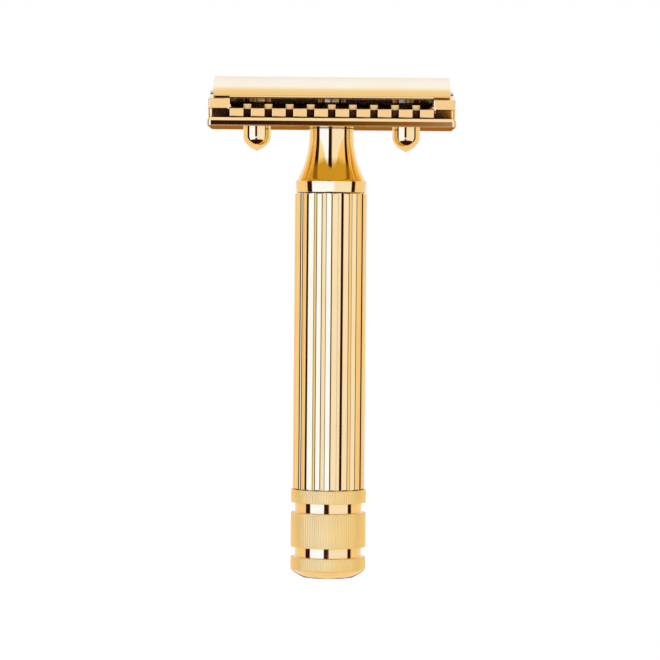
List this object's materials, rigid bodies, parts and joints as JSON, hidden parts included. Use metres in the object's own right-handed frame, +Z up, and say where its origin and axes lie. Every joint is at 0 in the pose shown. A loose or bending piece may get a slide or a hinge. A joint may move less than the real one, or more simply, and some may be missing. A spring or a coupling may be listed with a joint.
{
  "type": "safety razor",
  "caption": "Upright double-edge safety razor: domed cap over a thin blade and an open comb plate, flared neck, ribbed round grip and a knurled knob.",
  "frame": {"origin": "centre of the knob's flat end, on which the razor stands", "axes": "+Z up along the handle towards the head, +X along the head's long side, -Y towards the front cutting edge"},
  "size_m": [0.0436, 0.025, 0.0893],
  "materials": {
    "cap_gold": "mirror-polished gold plate",
    "stud_gold": "gold plate over a cut thread",
    "post_gold": "polished gold plate",
    "blade_steel": "ground stainless steel with polished edges",
    "plate_gold": "polished gold plate",
    "neck_gold": "mirror-polished gold plate",
    "grip_gold": "polished gold plate over straight rounded ribs",
    "knob_gold": "gold plate, knurled rings and polished grooves"
  },
  "bodies": {
    "handle": {"neck": "neck_gold", "grip": "grip_gold", "knob": "knob_gold"},
    "comb_plate": {"comb_plate": "plate_gold"},
    "cap": {"cap": "cap_gold", "centre_stud": "stud_gold", "left_post": "post_gold", "right_post": "post_gold"},
    "blade": {"blade": "blade_steel"}
  },
  "joints": [
    {"name": "head_turn", "type": "hinge", "parent": "handle", "child": "comb_plate", "pos_m": [0, 0, 0.08015], "axis": [0, 0, 1], "range_deg": [0, 3240]},
    {"name": "cap_lift", "type": "slide", "parent": "comb_plate", "child": "cap", "axis": [0, 0, 1], "range_m": [0, 0.0073]},
    {"name": "blade_lift", "type": "slide", "parent": "comb_plate", "child": "blade", "axis": [0, 0, 1], "range_m": [0, 0.0037]}
  ],
  "couplings": [
    {"joint": "cap_lift", "follows": "head_turn", "m_per_rad": 0.00012732},
    {"joint": "blade_lift", "follows": "head_turn", "m_per_rad": 0.000063662}
  ]
}
